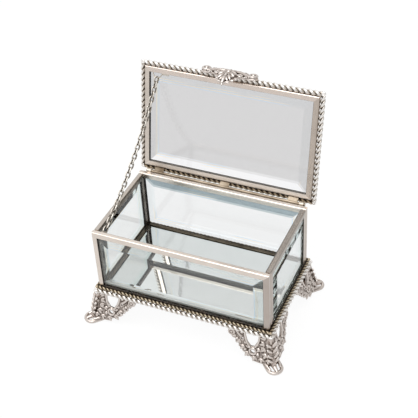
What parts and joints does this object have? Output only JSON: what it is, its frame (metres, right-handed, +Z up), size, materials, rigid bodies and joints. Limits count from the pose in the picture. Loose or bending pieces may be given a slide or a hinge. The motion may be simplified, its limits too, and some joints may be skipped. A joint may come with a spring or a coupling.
{
  "type": "glass casket box",
  "caption": "Footed glass casket box with bevelled panes in metal channels, a mirrored floor, twisted rope trim and a hinged glass lid held open by a chain.",
  "frame": {"origin": "centre of the open box's outline seen from above, on the plane that the feet stand on", "axes": "+X to the right along the length, +Y to the back where the hinge is, +Z up"},
  "size_m": [0.1504, 0.1136, 0.164],
  "materials": {
    "channel_metal": "satin nickel plate",
    "rope_metal": "antiqued silver plate",
    "cast_metal": "antiqued silver plate",
    "chain_metal": "bright",
    "dark_patina": "dark patina",
    "clear_glass": "polished, bevelled",
    "mirror_glass": "polished, bevelled"
  },
  "bodies": {
    "casket": {"front_top_rail": "channel_metal", "front_bottom_rail": "channel_metal", "front_left_post": "channel_metal", "front_right_post": "channel_metal", "front_pane": "clear_glass", "back_top_rail": "channel_metal", "back_bottom_rail": "channel_metal", "back_left_post": "channel_metal", "back_right_post": "channel_metal", "back_pane": "clear_glass", "left_top_rail": "channel_metal", "left_bottom_rail": "channel_metal", "left_front_post": "channel_metal", "left_back_post": "channel_metal", "left_pane": "clear_glass", "right_top_rail": "channel_metal", "right_bottom_rail": "channel_metal", "right_front_post": "channel_metal", "right_back_post": "channel_metal", "right_pane": "clear_glass", "floor_front_rail": "dark_patina", "floor_back_rail": "dark_patina", "floor_left_rail": "dark_patina", "floor_right_rail": "dark_patina", "floor_mirror": "mirror_glass", "base_rope_front": "rope_metal", "base_rope_back": "rope_metal", "base_rope_left": "rope_metal", "base_rope_right": "rope_metal", "base_cord_front": "dark_patina", "base_cord_back": "dark_patina", "base_cord_left": "dark_patina", "base_cord_right": "dark_patina", "foot_front_left": "cast_metal", "foot_front_right": "cast_metal", "foot_back_left": "cast_metal", "foot_back_right": "cast_metal", "hinge_lug_left": "channel_metal", "hinge_lug_right": "channel_metal", "body_chain_eye": "channel_metal", "stay_chain": "chain_metal"},
    "lid": {"lid_front_rail": "channel_metal", "lid_back_rail": "channel_metal", "lid_left_rail": "channel_metal", "lid_right_rail": "channel_metal", "lid_pane": "clear_glass", "lid_rope_front": "rope_metal", "lid_rope_back": "rope_metal", "lid_rope_left": "rope_metal", "lid_rope_right": "rope_metal", "lid_ornament": "cast_metal", "hinge_rod": "channel_metal", "lid_chain_eye": "channel_metal"}
  },
  "joints": [
    {"name": "lid_hinge", "type": "hinge", "parent": "casket", "child": "lid", "pos_m": [0, 0.034, 0.0748], "axis": [1, 0, 0], "range_deg": [0, 101], "deforming": ["stay_chain"]}
  ]
}
